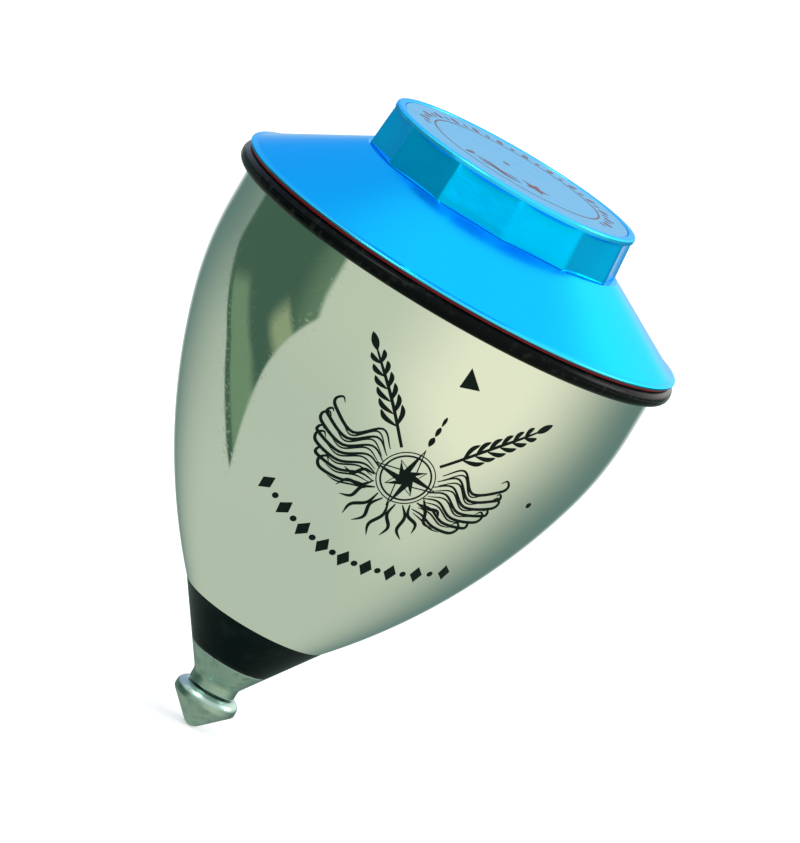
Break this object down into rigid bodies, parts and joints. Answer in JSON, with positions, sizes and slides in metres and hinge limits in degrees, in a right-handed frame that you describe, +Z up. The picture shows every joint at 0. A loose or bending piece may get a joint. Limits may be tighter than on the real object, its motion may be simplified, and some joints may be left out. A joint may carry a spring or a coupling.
{
  "type": "spinning top",
  "caption": "Throwing top: polished ogive shell on a free-running ball-bearing tip, rubber bumper ring, blue cone cover and faceted crown.",
  "frame": {"origin": "the point of the tip, where the upright top touches the ground", "axes": "+Z up the spin axis to the crown, -Y the side that carries the print"},
  "size_m": [0.0614, 0.0614, 0.0821],
  "materials": {
    "mirror_metal": "mirror polished",
    "black_rubber": "smooth moulded, low gloss",
    "red_trim": "dark red, gloss",
    "blue_metal": "blue anodised, satin",
    "blue_chrome": "blue metallised, bright",
    "printed_disc": "pale blue with brown print, satin",
    "black_plastic": "black, gloss",
    "zinc_steel": "turned and zinc plated",
    "bearing_steel": "ground",
    "cage_plastic": "natural nylon",
    "fixing_steel": "zinc plated",
    "turned_aluminium": "turned",
    "weight_steel": "turned, oiled"
  },
  "bodies": {
    "top": {"tip_cone": "zinc_steel", "tip_collar": "black_plastic", "bearing_outer_race": "bearing_steel", "bearing_shields": "bearing_steel", "bearing_housing": "turned_aluminium", "body_shell": "mirror_metal", "bumper_ring": "black_rubber", "trim_ring": "red_trim", "top_cover": "blue_metal", "grip_crown": "blue_chrome", "crown_disc": "printed_disc", "crown_washer": "fixing_steel", "crown_screw": "fixing_steel", "tie_tube": "turned_aluminium", "spacer_sleeve": "turned_aluminium", "flywheel": "weight_steel", "flywheel_washer": "fixing_steel", "flywheel_nut": "fixing_steel"},
    "tip": {"tip_head": "zinc_steel", "bearing_inner_race": "bearing_steel", "stem_washer": "fixing_steel", "stem_clip": "fixing_steel"},
    "ball_set": {"bearing_balls": "bearing_steel", "bearing_cage": "cage_plastic"}
  },
  "joints": [
    {"name": "tip_spin", "type": "hinge", "parent": "top", "child": "tip", "pos_m": [0, 0, 0.016], "axis": [0, 0, 1], "continuous": true},
    {"name": "cage_spin", "type": "hinge", "parent": "top", "child": "ball_set", "pos_m": [0, 0, 0.016], "axis": [0, 0, 1], "continuous": true}
  ],
  "couplings": [
    {"joint": "cage_spin", "follows": "tip_spin", "ratio": 0.3899}
  ]
}
